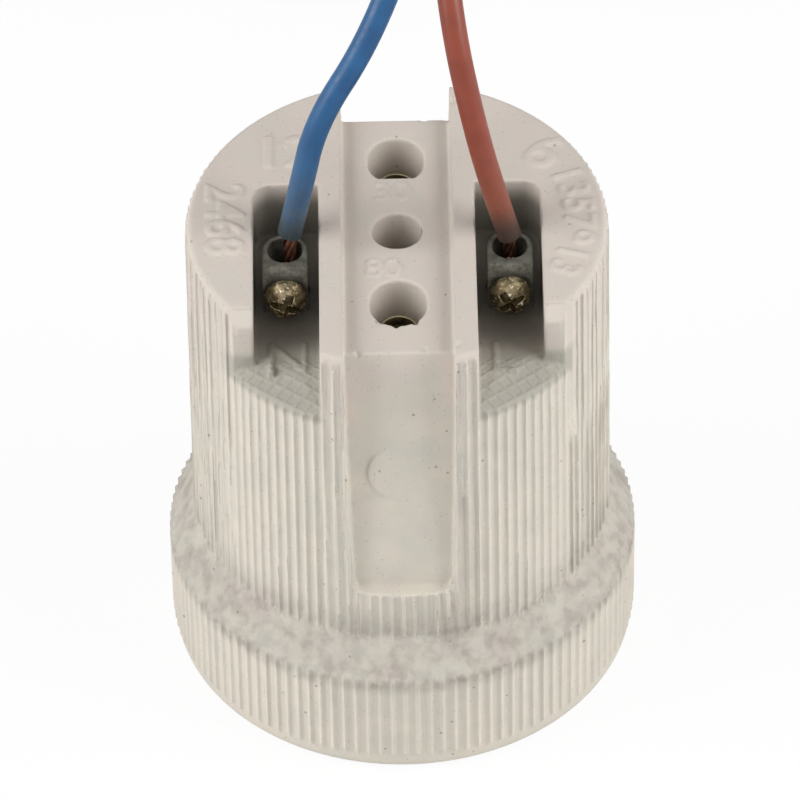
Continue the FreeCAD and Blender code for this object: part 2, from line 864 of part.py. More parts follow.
def lead_tip(side):
    """The stripped core at a lead's free end."""
    item = doc.addObject("Part::Feature", side + "_lead_tip")
    last = V(*LEAD_ROUTES[side][-1])
    heading = (last - V(*LEAD_ROUTES[side][-2])).normalize()
    item.Shape = Part.makeCylinder(cell("core_diameter").value / 2, cell("stripped_end").value,
                                   last, heading)
    return item


# ---------------------------------------------------------------- the model

nodes = [ceramic_body(), screw_shell(), centre_contact_strip(), contact_button(), centre_rivet()]
nodes += [eyelet(end) for end in ENDS]
for side in SIDES:
    nodes += [terminal(side), clamp_screw(side), lead(side), lead_core(side), lead_tip(side)]
doc.recompute()

faults = [item.Name for item in doc.Objects if "Invalid" in item.State or "Error" in item.State]
for node in nodes:
    shape = node.Shape
    if shape.isNull() or not shape.isValid() or shape.Volume <= 0:
        faults.append(node.Label)
if faults:
    raise RuntimeError("not built: " + ", ".join(faults))

os.makedirs("parts", exist_ok=True)
for node in nodes:
    node.Shape.exportStep(os.path.join("parts", node.Label + ".step"))
    bounds = node.Shape.BoundBox
    print(f"{node.Label:22s} {len(node.Shape.Solids)} solid {node.Shape.Volume:10.2f} mm3",
          [round(value, 2) for value in (bounds.XMin, bounds.XMax, bounds.YMin, bounds.YMax,
                                         bounds.ZMin, bounds.ZMax)])
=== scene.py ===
# %% [markdown]
# # A porcelain lamp holder with two connecting leads
#
# This holder is pressed from a speckled, unglazed porcelain. A screw lamp goes in from
# below, and the wiring is done from above: a pillar terminal sits in each of two deep
# pockets, with a clamp screw in its side and a lead coming down into it.
# The construction, with every size and joint, is loaded as a fixed frame. The lesson
# dresses it: it replaces what needs softer or finer form and gives each piece its finish.

# %% The frame
import json
import math

import bpy
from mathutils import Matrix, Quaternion, Vector

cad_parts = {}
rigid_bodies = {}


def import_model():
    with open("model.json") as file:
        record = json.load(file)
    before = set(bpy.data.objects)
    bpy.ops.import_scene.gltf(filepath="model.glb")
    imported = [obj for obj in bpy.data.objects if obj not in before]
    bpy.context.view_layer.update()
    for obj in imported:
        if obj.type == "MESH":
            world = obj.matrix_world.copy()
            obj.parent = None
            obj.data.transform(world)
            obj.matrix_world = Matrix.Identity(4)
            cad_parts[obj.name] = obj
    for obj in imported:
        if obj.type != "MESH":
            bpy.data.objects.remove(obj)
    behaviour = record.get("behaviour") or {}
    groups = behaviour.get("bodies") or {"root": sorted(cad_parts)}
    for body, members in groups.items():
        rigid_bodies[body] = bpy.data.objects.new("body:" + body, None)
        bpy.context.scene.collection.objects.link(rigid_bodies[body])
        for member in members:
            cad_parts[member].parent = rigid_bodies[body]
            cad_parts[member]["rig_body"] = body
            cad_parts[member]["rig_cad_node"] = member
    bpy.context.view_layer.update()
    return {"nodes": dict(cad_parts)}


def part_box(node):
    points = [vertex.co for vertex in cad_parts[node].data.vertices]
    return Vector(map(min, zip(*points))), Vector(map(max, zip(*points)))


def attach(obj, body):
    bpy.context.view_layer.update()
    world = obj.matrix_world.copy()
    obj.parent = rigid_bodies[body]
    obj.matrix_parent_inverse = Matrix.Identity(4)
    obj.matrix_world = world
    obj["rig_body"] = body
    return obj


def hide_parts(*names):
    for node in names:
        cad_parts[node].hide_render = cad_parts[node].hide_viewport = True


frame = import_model()
nodes = frame["nodes"]
MM = 0.001

# %% [markdown]
# ## Working habits
#
# Operators act on whatever is selected, so each step first selects exactly what it is
# meant for. Every finished piece keeps its object at the origin, with its place in its
# mesh, because patterns that read object coordinates then stay where they were put.

# %% Small helpers for operators


def only(*things):
    """Selects these objects alone and makes the first one active."""
    bpy.ops.object.select_all(action="DESELECT")
    for thing in things:
        thing.select_set(True)
    bpy.context.view_layer.objects.active = things[0]
    return things[0]


def named(name):
    """Names the object that an operator has just made."""
    thing = bpy.context.object
    thing.name = name
    thing.data.name = name
    return thing


def settle(thing):
    """Puts an object's place, turn and scale into its mesh."""
    only(thing)
    bpy.ops.object.transform_apply(location=True, rotation=True, scale=True)
    return thing


def finish_modifiers(thing):
    """Applies every modifier in order."""
    only(thing)
    for modifier in list(thing.modifiers):
        bpy.ops.object.modifier_apply(modifier=modifier.name)
    return thing


def joined(things, name):
    """Joins several meshes into one piece."""
    only(*things)
    bpy.ops.object.join()
    return named(name)


def edit_all(thing, *steps):
    """Runs edit-mode steps with the whole mesh selected."""
    only(thing)
    bpy.ops.object.mode_set(mode="EDIT")
    bpy.ops.mesh.select_all(action="SELECT")
    for step in steps:
        step()
    bpy.ops.object.mode_set(mode="OBJECT")
    return thing


def merged_copy(node, name):
    """A copy of one of the frame's solids, with its loose triangles merged to a closed mesh."""
    only(nodes[node])
    bpy.ops.object.duplicate()
    bpy.ops.object.parent_clear(type="CLEAR_KEEP_TRANSFORM")
    copy = named(name)
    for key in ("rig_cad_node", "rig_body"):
        del copy[key]
    copy.data.materials.clear()
    return edit_all(copy, lambda: bpy.ops.mesh.remove_doubles(threshold=0.002 * MM))


def triangles(thing):
    """How many triangles a mesh comes to."""
    return sum(len(face.vertices) - 2 for face in thing.data.polygons)


# %% [markdown]
# ## The camera
#
# The holder is seen from above and in front through a long lens, so its upright lines
# stay nearly parallel. The camera is turned a little about its own axis: the holder
# leans to the left by a degree.

# %% The camera
VIEW_HEIGHT = math.radians(44.3)
VIEW_DISTANCE = 0.755
VIEW_ROLL = math.radians(-1.05)
LENS = 340.8
AIM_LIFT = 0.00294

towards_camera = Vector((0, -math.cos(VIEW_HEIGHT), math.sin(VIEW_HEIGHT)))
screen_up = Vector((0, math.sin(VIEW_HEIGHT), math.cos(VIEW_HEIGHT)))
middle_of_holder = Vector((0, 0, 0.025))
bpy.ops.object.camera_add(location=middle_of_holder + towards_camera * VIEW_DISTANCE)
camera = named("camera")
aim = middle_of_holder + screen_up * AIM_LIFT - camera.location
camera.rotation_mode = "QUATERNION"
camera.rotation_quaternion = aim.to_track_quat("-Z", "Y") @ Quaternion((0, 0, 1), VIEW_ROLL)
camera.data.lens = LENS
camera.data.sensor_width = 36
camera.data.clip_start = 0.01
camera.data.clip_end = 20
bpy.context.scene.camera = camera
bpy.context.scene.view_settings.view_transform = "Standard"

# %% [markdown]
# ## The two leads
#
# Each lead is a short piece of single insulated wire. It stands straight up out of its
# terminal, rises, bends back over the holder and comes down behind it. The blue one ends
# on the table and the red-brown one just above it, each stripped for the next connection.
# One open NURBS spline carries the whole line, because a wire has no corners. The curve's
# bevel is one metre deep and each point's radius scales it down to the wire, because the
# curve's bounds follow the points' radii.

# %% The leads' routes
LEAD_DIAMETER = 2.4 * MM
LEADS = {
    "neutral": {
        "exit": (-10.4, -1.663, 53.5),
        "length": 200,
        "route": [
            (-9.2, -1.3, 59.0), (-7.6, -0.2, 66.5), (-2.4, 2.2, 74.5), (1.8, 7.5, 83.5),
            (1.0, 17.0, 92.0), (-2.5, 29.5, 97.0), (-7.0, 43.0, 95.0), (-11.5, 55.5, 86.5),
            (-15.5, 66.5, 72.5), (-18.6, 75.0, 55.0), (-20.6, 81.0, 38.6), (-21.5, 86.0, 25.0),
            (-21.2, 90.0, 15.0), (-18.4, 92.5, 8.0), (-13.3, 94.1, 3.4), (-7.2, 94.9, 1.2),
            (-0.7, 95.0, 1.2),
        ],
    },
    "live": {
        "exit": (10.9, -1.525, 52.6),
        "length": 182,
        "route": [
            (9.2, -1.3, 59.0), (7.4, -0.2, 67.0), (5.7, 2.6, 75.5), (4.6, 10.0, 84.0),
            (5.2, 18.5, 92.5), (7.0, 31.5, 98.5), (9.2, 45.5, 97.5), (11.6, 58.0, 88.5),
            (14.0, 68.5, 73.0), (16.7, 76.5, 55.0), (18.9, 82.5, 37.5), (19.6, 86.8, 22.8),
            (18.4, 90.0, 12.8), (14.9, 92.5, 6.3),
        ],
    },
}


def lead_insulation(side):
    """The insulation of one lead, as a curve with a round bevel and closed ends."""
    points = [LEADS[side]["exit"]] + LEADS[side]["route"]
    curve = bpy.data.curves.new(side + "_insulation", "CURVE")
    curve.dimensions = "3D"
    spline = curve.splines.new("NURBS")
    spline.points.add(len(points) - 1)
    for knot, point in zip(spline.points, points):
        knot.co = (*(value * MM for value in point), 1)
        knot.radius = LEAD_DIAMETER / 2
    spline.order_u = 3
    spline.use_endpoint_u = True
    spline.resolution_u = 20
    curve.bevel_depth = 1
    curve.bevel_resolution = 7
    curve.use_fill_caps = True
    lead = bpy.data.objects.new(side + "_insulation", curve)
    bpy.context.scene.collection.objects.link(lead)
    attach(lead, "holder")
    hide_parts(side + "_lead")
    return lead


insulation = {side: lead_insulation(side) for side in LEADS}

# %% [markdown]
# ## Shared shader groups
#
# Several finishes need the same effects: a cloudy change of tone, fine grain and dark
# specks. Each effect is a node group with named inputs, and a material places it with
# its own values.

# %% Groups for tone, grain and specks


def new_group(name, inputs, outputs):
    """An empty shader node group with its sockets."""
    tree = bpy.data.node_groups.new(name, "ShaderNodeTree")
    for label, kind, default in inputs:
        socket = tree.interface.new_socket(label, in_out="INPUT", socket_type="NodeSocket" + kind)
        if default is not None:
            socket.default_value = default
    for label, kind in outputs:
        tree.interface.new_socket(label, in_out="OUTPUT", socket_type="NodeSocket" + kind)
    return tree, tree.nodes.new("NodeGroupInput").outputs, tree.nodes.new("NodeGroupOutput").inputs


def node(tree, kind, settings=None, **inputs):
    """Adds a node, sets its properties and fills or links its inputs."""
    made = tree.nodes.new("ShaderNode" + kind)
    for key, value in (settings or {}).items():
        setattr(made, key, value)
    for key, value in inputs.items():
        socket = made.inputs[int(key[1:])] if key[0] == "i" and key[1:].isdigit() else made.inputs[key]
        if isinstance(value, bpy.types.NodeSocket):
            tree.links.new(value, socket)
        else:
            socket.default_value = value
    return made


def times(tree, *factors):
    """The product of two or more values."""
    product = factors[0]
    for factor in factors[1:]:
        product = node(tree, "Math", {"operation": "MULTIPLY"}, i0=product, i1=factor).outputs[0]
    return product


def mixed(tree, factor, first, second):
    """A colour mix: the result of first and second by factor."""
    mix = node(tree, "Mix", {"data_type": "RGBA"}, Factor=factor)
    for socket, value in ((mix.inputs[6], first), (mix.inputs[7], second)):
        if isinstance(value, bpy.types.NodeSocket):
            tree.links.new(value, socket)
        else:
            socket.default_value = (*value, 1) if len(value) == 3 else value
    return mix.outputs[2]


def ramp(tree, value, low, high, bottom=0.0, top=1.0):
    """A smooth step from bottom to top as value goes from low to high."""
    step = node(tree, "MapRange", {"interpolation_type": "SMOOTHSTEP"}, Value=value)
    for label, number in (("From Min", low), ("From Max", high), ("To Min", bottom), ("To Max", top)):
        if isinstance(number, bpy.types.NodeSocket):
            tree.links.new(number, step.inputs[label])
        else:
            step.inputs[label].default_value = number
    return step.outputs[0]


cloud_group, put, out = new_group(
    "cloudy tone",
    [("Vector", "Vector", None), ("Light", "Color", (1, 1, 1, 1)), ("Dark", "Color", (0.5, 0.5, 0.5, 1)),
     ("Scale", "Float", 200.0), ("Contrast", "Float", 0.2)],
    [("Color", "Color"), ("Mask", "Float")])
broad = node(cloud_group, "TexNoise", Vector=put["Vector"], Scale=put["Scale"], Detail=5.0)
low = node(cloud_group, "Math", {"operation": "SUBTRACT"}, i0=0.5, i1=put["Contrast"])
high = node(cloud_group, "Math", {"operation": "ADD"}, i0=0.5, i1=put["Contrast"])
cloud = ramp(cloud_group, broad.outputs["Fac"], low.outputs[0], high.outputs[0])
cloud_group.links.new(mixed(cloud_group, cloud, put["Dark"], put["Light"]), out["Color"])
cloud_group.links.new(cloud, out["Mask"])

grain_group, put, out = new_group(
    "fine grain",
    [("Vector", "Vector", None), ("Scale", "Float", 4000.0), ("Pits", "Float", 0.3)],
    [("Height", "Float")])
fine = node(grain_group, "TexNoise", Vector=put["Vector"], Scale=put["Scale"], Detail=3.0)
cells = node(grain_group, "TexVoronoi", Vector=put["Vector"], Scale=times(grain_group, put["Scale"], 0.35))
pits = ramp(grain_group, cells.outputs["Distance"], 0.05, 0.3)
depth = times(grain_group, pits, put["Pits"])
height = node(grain_group, "Math", {"operation": "ADD"}, i0=fine.outputs["Fac"], i1=depth)
grain_group.links.new(height.outputs[0], out["Height"])

speck_group, put, out = new_group(
    "specks",
    [("Vector", "Vector", None), ("Scale", "Float", 1500.0), ("Size", "Float", 0.2),
     ("Share", "Float", 0.1)],
    [("Mask", "Float")])
wobble = node(speck_group, "TexNoise", Vector=put["Vector"], Scale=put["Scale"], Detail=2.0)
dots = node(speck_group, "TexVoronoi", Vector=put["Vector"], Scale=put["Scale"])
reach = times(speck_group, wobble.outputs["Fac"], put["Size"])
inside = ramp(speck_group, dots.outputs["Distance"], reach, times(speck_group, reach, 2.0), 1.0, 0.0)
chance = node(speck_group, "SeparateColor", Color=dots.outputs["Color"])
chosen = node(speck_group, "Math", {"operation": "LESS_THAN"}, i0=chance.outputs[0], i1=put["Share"])
speck_group.links.new(times(speck_group, inside, chosen.outputs[0]), out["Mask"])

wear_group, put, out = new_group(
    "edge wear",
    [("Vector", "Vector", None), ("Scale", "Float", 2500.0), ("From", "Float", 0.52), ("To", "Float", 0.6)],
    [("Mask", "Float")])
edge = node(wear_group, "NewGeometry")
rub = node(wear_group, "TexNoise", Vector=put["Vector"], Scale=put["Scale"], Detail=3.0)
worn = ramp(wear_group, edge.outputs["Pointiness"], put["From"], put["To"])
patchy = ramp(wear_group, rub.outputs["Fac"], 0.35, 0.6)
wear_group.links.new(times(wear_group, worn, patchy), out["Mask"])


def effect(tree, group, **inputs):
    """Places a shared group in a material with its own values."""
    made = tree.nodes.new("ShaderNodeGroup")
    made.node_tree = group
    for key, value in inputs.items():
        if isinstance(value, bpy.types.NodeSocket):
            tree.links.new(value, made.inputs[key])
        else:
            made.inputs[key].default_value = (*value, 1) if isinstance(value, tuple) else value
    return made.outputs


def new_material(name, **plain):
    """A material with one Principled shader, its plain values and its object coordinates."""
    material = bpy.data.materials.new(name)
    material.use_nodes = True
    tree = material.node_tree
    shader = tree.nodes["Principled BSDF"]
    for label, value in plain.items():
        shader.inputs[label.replace("_", " ")].default_value = value
    place = node(tree, "TexCoord").outputs["Object"]
    return material, tree, shader, place


def bumped(tree, shader, height, distance, strength=1.0):
    """Feeds a height through a Bump node to the shader's normal."""
    bump = node(tree, "Bump", Height=height, Distance=distance, Strength=strength)
    tree.links.new(bump.outputs[0], shader.inputs["Normal"])
    return bump


def worn_by(thing, material):
    """Gives a piece one material."""
    thing.data.materials.clear()
    thing.data.materials.append(material)
    return thing


# %% [markdown]
# ## Unglazed porcelain
#
# The body is steatite porcelain: a warm grey white, with painted shade that makes it darker and
# pinker towards the top. It has a cloudy tone, many pale grey specks, a few dark ones,
# and a dry surface with a fine grain. A grey mottle lies on the flare.

# %% The porcelain
PORCELAIN_WARM = (0.655, 0.60, 0.515)
PORCELAIN_COOL = (0.575, 0.53, 0.475)
TOP_SHADE_PINK = (0.60, 0.525, 0.475)
SPECK_GREY = (0.40, 0.38, 0.35)
SPECK_DARK = (0.10, 0.085, 0.07)
MOTTLE = (0.30, 0.265, 0.235)
# The colour of the painted shade inside the two pockets.
POCKET_PAINTED_SHADE = (0.135, 0.125, 0.10)
LIME_GREY = (0.555, 0.545, 0.475)
APRON_GREY = (0.335, 0.325, 0.275)

# Where the effects lie: the flare's mottled band in height, and the pockets' painted shade and
# the aprons across, along and in height.
BAND_LOW, BAND_HIGH = (0.0105, 0.0125), (0.0150, 0.0215)
POCKET_INSIDE, POCKET_OUTSIDE = (0.0072, 0.0078), (0.0139, 0.0145)
POCKET_FRONT, POCKET_BACK, POCKET_TOP = (-0.0150, -0.0085), (0.0052, 0.0060), (0.0505, 0.0536)

porcelain, tree, shader, place = new_material("porcelain", Roughness=0.7, Specular_IOR_Level=0.35)
tone = effect(tree, cloud_group, Vector=place, Light=PORCELAIN_WARM, Dark=PORCELAIN_COOL,
              Scale=260.0, Contrast=0.32)
heights = node(tree, "SeparateXYZ", Vector=place)
# Painted shade: a darker, pinker tone is painted over the upper body and top by height.
top_painted_shade = ramp(tree, heights.outputs["Z"], 0.040, 0.0525, 0.0, 0.8)
colour = mixed(tree, top_painted_shade, tone["Color"], TOP_SHADE_PINK)
band = times(tree, ramp(tree, heights.outputs["Z"], *BAND_HIGH, 1.0, 0.0),
             ramp(tree, heights.outputs["Z"], *BAND_LOW))
blotches = effect(tree, cloud_group, Vector=place, Scale=700.0, Contrast=0.12)
mottle = node(tree, "Math", {"operation": "MULTIPLY_ADD"}, i0=times(tree, band, blotches["Mask"]),
              i1=0.36, i2=times(tree, band, 0.42))
colour = mixed(tree, mottle.outputs[0], colour, MOTTLE)
drift = effect(tree, cloud_group, Vector=place, Scale=420.0, Contrast=0.16)
colour = mixed(tree, times(tree, drift["Mask"], 0.4), colour, LIME_GREY)
for shade, scale, size, share in ((SPECK_GREY, 1900.0, 0.24, 0.3), (SPECK_DARK, 900.0, 0.16, 0.13)):
    specks = effect(tree, speck_group, Vector=place, Scale=scale, Size=size, Share=share)
    colour = mixed(tree, times(tree, specks["Mask"], 0.5), colour, shade)

# Painted shade darkens the two pockets towards their backs, where their walls shade them.
across = node(tree, "Math", {"operation": "ABSOLUTE"}, i0=heights.outputs["X"])
pocket_painted_shade = times(tree, ramp(tree, across.outputs[0], *POCKET_INSIDE),
              ramp(tree, across.outputs[0], *POCKET_OUTSIDE, 1.0, 0.0),
              ramp(tree, heights.outputs["Y"], *POCKET_FRONT),
              ramp(tree, heights.outputs["Y"], *POCKET_BACK, 1.0, 0.0),
              ramp(tree, heights.outputs["Z"], *POCKET_TOP, 1.0, 0.0), 0.82)
colour = mixed(tree, pocket_painted_shade, colour, POCKET_PAINTED_SHADE)

# The aprons were pressed against a die that left them greyer than the ribs.
apron = times(tree, ramp(tree, across.outputs[0], 0.0074, 0.0078),
              ramp(tree, heights.outputs["Y"], -0.0125, -0.0110, 1.0, 0.0),
              ramp(tree, heights.outputs["Z"], 0.0440, 0.0450),
              ramp(tree, heights.outputs["Z"], 0.0470, 0.0485, 1.0, 0.0), 0.7)
colour = mixed(tree, apron, colour, APRON_GREY)
tree.links.new(colour, shader.inputs["Base Color"])
dry = node(tree, "TexNoise", Vector=place, Scale=900.0, Detail=3.0)
tree.links.new(ramp(tree, dry.outputs["Fac"], 0.3, 0.7, 0.58, 0.8), shader.inputs["Roughness"])
grain = effect(tree, grain_group, Vector=place, Scale=3800.0, Pits=0.5)

# A grid of fine raised lines crosses each pocket's apron at a slant.
GRID_STEP = 1.4 * MM
lines = []
for sign in (1, -1):
    slant = node(tree, "Math", {"operation": "MULTIPLY_ADD"}, i0=heights.outputs["X"], i1=sign * 0.75,
                 i2=heights.outputs["Y"])
    fold = node(tree, "Math", {"operation": "PINGPONG"}, i0=slant.outputs[0], i1=GRID_STEP / 2)
    lines.append(ramp(tree, fold.outputs[0], 0.04 * MM, 0.36 * MM, 1.0, 0.0))
crossed = node(tree, "Math", {"operation": "MAXIMUM"}, i0=lines[0], i1=lines[1]).outputs[0]
grid = times(tree, crossed, ramp(tree, across.outputs[0], 0.0074, 0.0080),
             ramp(tree, heights.outputs["Y"], -0.0130, -0.0122, 1.0, 0.0),
             ramp(tree, heights.outputs["Z"], 0.0436, 0.0444),
             ramp(tree, heights.outputs["Z"], 0.0470, 0.0476, 1.0, 0.0))
relief = node(tree, "Math", {"operation": "MULTIPLY_ADD"}, i0=grid, i1=2.2, i2=grain["Height"])
bumped(tree, shader, relief.outputs[0], 0.05 * MM, 0.6)

# %% [markdown]
# ## Metals
#
# Nickel plate covers the terminals and a brighter plate the threaded shell. The clamp
# screws have a worn yellow plate, the eyelets are brass, the contact strip is bronze and
# the leads' wires are copper, darker in the wire holes than at the free ends. Each metal
# has its own colour, a cloudy tarnish and a fine grain, from the same shared groups.

# %% The metals


def metal(name, light, dark, roughness, scale=900.0, grain=3000.0, dent=0.01, wear=None,
          rubbed=1.0, bare=1.0):
    """A metal with a cloudy tarnish, uneven gloss, a fine grain and paler worn edges."""
    material, tree, shader, place = new_material(name, Metallic=bare)
    tone = effect(tree, cloud_group, Vector=place, Light=light, Dark=dark, Scale=scale, Contrast=0.2)
    colour = tone["Color"]
    if wear:
        edges = effect(tree, wear_group, Vector=place)
        colour = mixed(tree, times(tree, edges["Mask"], rubbed), colour, wear)
    tree.links.new(colour, shader.inputs["Base Color"])
    gloss = node(tree, "TexNoise", Vector=place, Scale=scale * 1.7, Detail=4.0)
    rough = ramp(tree, gloss.outputs["Fac"], 0.3, 0.7, roughness * 0.75, roughness * 1.3)
    tree.links.new(rough, shader.inputs["Roughness"])
    surface = effect(tree, grain_group, Vector=place, Scale=grain, Pits=0.3)
    bumped(tree, shader, surface["Height"], dent * MM, 0.7)
    return material


nickel = metal("terminal nickel", (0.125, 0.122, 0.097), (0.070, 0.067, 0.052), 0.58, scale=1100.0,
               wear=(0.40, 0.39, 0.33), rubbed=0.3, bare=0.4)
screw_plate = metal("clamp screw plate", (0.33, 0.27, 0.17), (0.12, 0.095, 0.05), 0.34, scale=1300.0,
                    wear=(0.68, 0.61, 0.48))
shell_plate = metal("rolled shell plate", (0.66, 0.64, 0.60), (0.50, 0.48, 0.44), 0.3)
bronze = metal("spring bronze", (0.72, 0.50, 0.27), (0.52, 0.33, 0.17), 0.3)
brass = metal("eyelet brass", (0.42, 0.37, 0.24), (0.30, 0.26, 0.17), 0.4)
copper = metal("bare copper", (0.80, 0.42, 0.27), (0.55, 0.26, 0.16), 0.32)
old_copper = metal("tarnished copper", (0.26, 0.115, 0.075), (0.10, 0.05, 0.035), 0.5)

# %% [markdown]
# ## Insulation
#
# The two leads are insulated in blue and red-brown. The plastic is satin, and it is
# dusted with porcelain flour near the terminals, where it rubbed against the pocket.

# %% The insulation
# The dark colour at the leads' cut ends: partly dirt, partly painted shade.
END_DIRT_AND_SHADE = (0.022, 0.030, 0.026)


def insulation_finish(name, light, dark, dust, dust_amount):
    """A satin extruded plastic with a faint draw texture, dust low down on the lead, and a cut end darkened
    by dirt and painted shade.
    """
    material, tree, shader, place = new_material(name, Specular_IOR_Level=0.45)
    tone = effect(tree, cloud_group, Vector=place, Light=light, Dark=dark, Scale=350.0, Contrast=0.25)
    heights = node(tree, "SeparateXYZ", Vector=place)
    near = ramp(tree, heights.outputs["Y"], 0.010, 0.020, 1.0, 0.0)
    near_floor = ramp(tree, heights.outputs["Z"], 0.053, 0.066, 1.0, 0.0)
    low_down = times(tree, near, near_floor)
    # Near the cut end, deep in the pocket, the insulation is darkened: partly dirt, partly painted shade.
    cut_end = ramp(tree, heights.outputs["Z"], 0.0535, 0.0575, 0.8, 0.0)
    end_dirt_and_shade = times(tree, near, cut_end)
    flour = effect(tree, cloud_group, Vector=place, Scale=2600.0, Contrast=0.14)
    veil = node(tree, "Math", {"operation": "MULTIPLY_ADD"}, i0=flour["Mask"], i1=0.55, i2=0.45)
    dusty = times(tree, low_down, veil.outputs[0], dust_amount)
    colour = mixed(tree, dusty, tone["Color"], dust)
    colour = mixed(tree, end_dirt_and_shade, colour, END_DIRT_AND_SHADE)
    tree.links.new(colour, shader.inputs["Base Color"])
    smooth = node(tree, "TexNoise", Vector=place, Scale=1400.0, Detail=3.0)
    tree.links.new(ramp(tree, smooth.outputs["Fac"], 0.3, 0.7, 0.34, 0.5), shader.inputs["Roughness"])
    surface = effect(tree, grain_group, Vector=place, Scale=2600.0, Pits=0.1)
    bumped(tree, shader, surface["Height"], 0.02 * MM, 0.5)
    return material


blue = insulation_finish("blue insulation", (0.010, 0.095, 0.24), (0.007, 0.066, 0.18),
                         (0.080, 0.092, 0.078), 0.8)
red_brown = insulation_finish("red-brown insulation", (0.245, 0.046, 0.022), (0.185, 0.033, 0.015),
                              (0.19, 0.10, 0.062), 0.5)
worn_by(insulation["neutral"], blue)
worn_by(insulation["live"], red_brown)

# %% [markdown]
# ## The porcelain body
#
# The solid gives the body's true form, but its edges are knife-sharp and its faces are
# perfect. Pressed porcelain is neither: every edge has a soft radius and faces wander
# a little. Voxels give that look in one go. The solid is copied, chips are cut out of
# the copy, raised letters are joined to it, and remeshing then fuses everything with
# slightly rounded edges. A last decimation keeps triangles only where the form turns.

# %% The body's blank
body = merged_copy("ceramic_body", "porcelain_body")
body_low, body_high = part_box("ceramic_body")
top = body_high.z
print("porcelain blank:", triangles(body), "triangles")

# %% [markdown]
# ## Broken edges
#
# The wall ends beside the pockets are cut off square, the rear flute is a little deeper
# than the front one, and the soft pressed edges have lost crumbs before firing: most
# at the front rims of the screw holes and at one corner of the channel. Each loss is a
# small rough lump, and one Boolean takes all of them out of the blank.

# %% Cutting the blank
FLOOR = 46.7 * MM
CHANNEL = 52.0 * MM
APRON_START = 17.4 * MM
APRON_SLOPE = math.radians(26.5)


def block(low, high, tilt=0.0, hinge=(0, 0)):
    """A block between two corners in millimetres, tilted about a line along X at hinge (y, z)."""
    size = [b - a for a, b in zip(low, high)]
    bpy.ops.mesh.primitive_cube_add(size=MM, location=[(a + b) / 2 * MM for a, b in zip(low, high)])
    made = named("block")
    made.scale = size
    settle(made)
    if tilt:
        edit_all(made, lambda: bpy.ops.transform.rotate(
            value=math.radians(-tilt), orient_axis="X",
            center_override=(0, hinge[0] * MM, hinge[1] * MM)))
    return made


def above_apron(made, side):
    """Keeps the part of a block above the apron, which falls outwards from the pocket floor."""
    out_x, out_y = side * 0.592, -0.806
    normal = (out_x * math.sin(APRON_SLOPE), out_y * math.sin(APRON_SLOPE), math.cos(APRON_SLOPE))
    return edit_all(made, lambda: bpy.ops.mesh.bisect(
        plane_co=(out_x * APRON_START, out_y * APRON_START, FLOOR), plane_no=normal,
        use_fill=True, clear_inner=True))


def crumb(place, size, seed):
    """A rough lump: place is its middle and size its half lengths, in millimetres."""
    bpy.ops.mesh.primitive_ico_sphere_add(subdivisions=2, radius=MM)
    made = named("crumb")
    edit_all(made, lambda: bpy.ops.transform.vertex_random(offset=0.28 * MM, seed=seed))
    made.scale = size
    made.rotation_euler = (0.3 * seed, 0.5 * seed, 0.9 * seed)
    settle(made)
    made.location = [value * MM for value in place]
    return settle(made)


cutters = [block((-5.3, 16.1, 24.0), (5.3, 24.0, 60.0), tilt=5.5, hinge=(16.1, 52.0))]
for side in (-1, 1):
    near, pocket_side, far = sorted((side * 7.65, side * 13.8, side * 18.5), key=abs)
    cutters.append(above_apron(block((min(near, pocket_side), -24.0, 40.0),
                                     (max(near, pocket_side), -12.0, 48.5)), side))
    cutters.append(block((min(pocket_side, far), -20.0, 53.3), (max(pocket_side, far), -11.9, 60.0),
                         tilt=48.0, hinge=(-11.9, 53.3)))
    cutters.append(above_apron(block((min(pocket_side, far), -24.0, 40.0),
                                     (max(pocket_side, far), -12.8, 60.0), tilt=6.0, hinge=(-12.8, 48.0)),
                               side))
for seed, (place_of, size) in enumerate((
        ((-19.75, -7.6, 28.6), (0.1, 0.9, 0.12)),
        ((-1.9, -12.8, 52.2), (0.8, 0.5, 0.4)), ((-0.2, -13.5, 52.2), (0.8, 0.35, 0.4)),
        ((1.7, -12.9, 52.2), (0.8, 0.4, 0.4)), ((5.0, 16.2, 52.6), (0.9, 0.8, 1.0)),
        ((2.9, 16.1, 52.2), (0.9, 0.4, 0.4)), ((-5.3, 16.3, 53.4), (0.6, 0.6, 0.6)),
        ((5.9, 17.3, 53.7), (0.5, 0.8, 0.4)), ((-18.5, -4.3, 53.6), (0.35, 0.3, 0.2)),
        ((18.2, -10.3, 53.6), (0.7, 0.6, 0.3)), ((17.0, -11.6, 53.6), (0.4, 0.4, 0.3)),
        ((-4.2, -17.2, 52.1), (0.7, 0.3, 0.25)), ((2.4, -17.2, 52.1), (0.9, 0.25, 0.25)),
        ((5.6, -17.6, 53.6), (0.4, 0.5, 0.3)), ((-23.3, -3.0, 0.4), (0.5, 0.9, 0.4)),
        ((9.0, -21.6, 0.3), (0.9, 0.5, 0.4)))):
    cutters.append(crumb(place_of, size, seed))
cutter = joined(cutters, "cutter")
cut = body.modifiers.new("cut", "BOOLEAN")
cut.operation = "DIFFERENCE"
cut.solver = "EXACT"
cut.use_self = True
cut.object = cutter
finish_modifiers(body)
bpy.data.objects.remove(cutter)
print("after cutting:", triangles(body), "triangles")

# %% [markdown]
# ## Raised marks
#
# The mould leaves raised marks: N and L in front of the terminals, and plain numbers on
# the top face. Text is made solid by its own extrude, turned into a mesh and laid
# half-sunk in the surface, so that remeshing welds it in.

# %% Letters and numbers
MARK_RISE = 0.22 * MM
ARC_RADIUS = 17.6 * MM


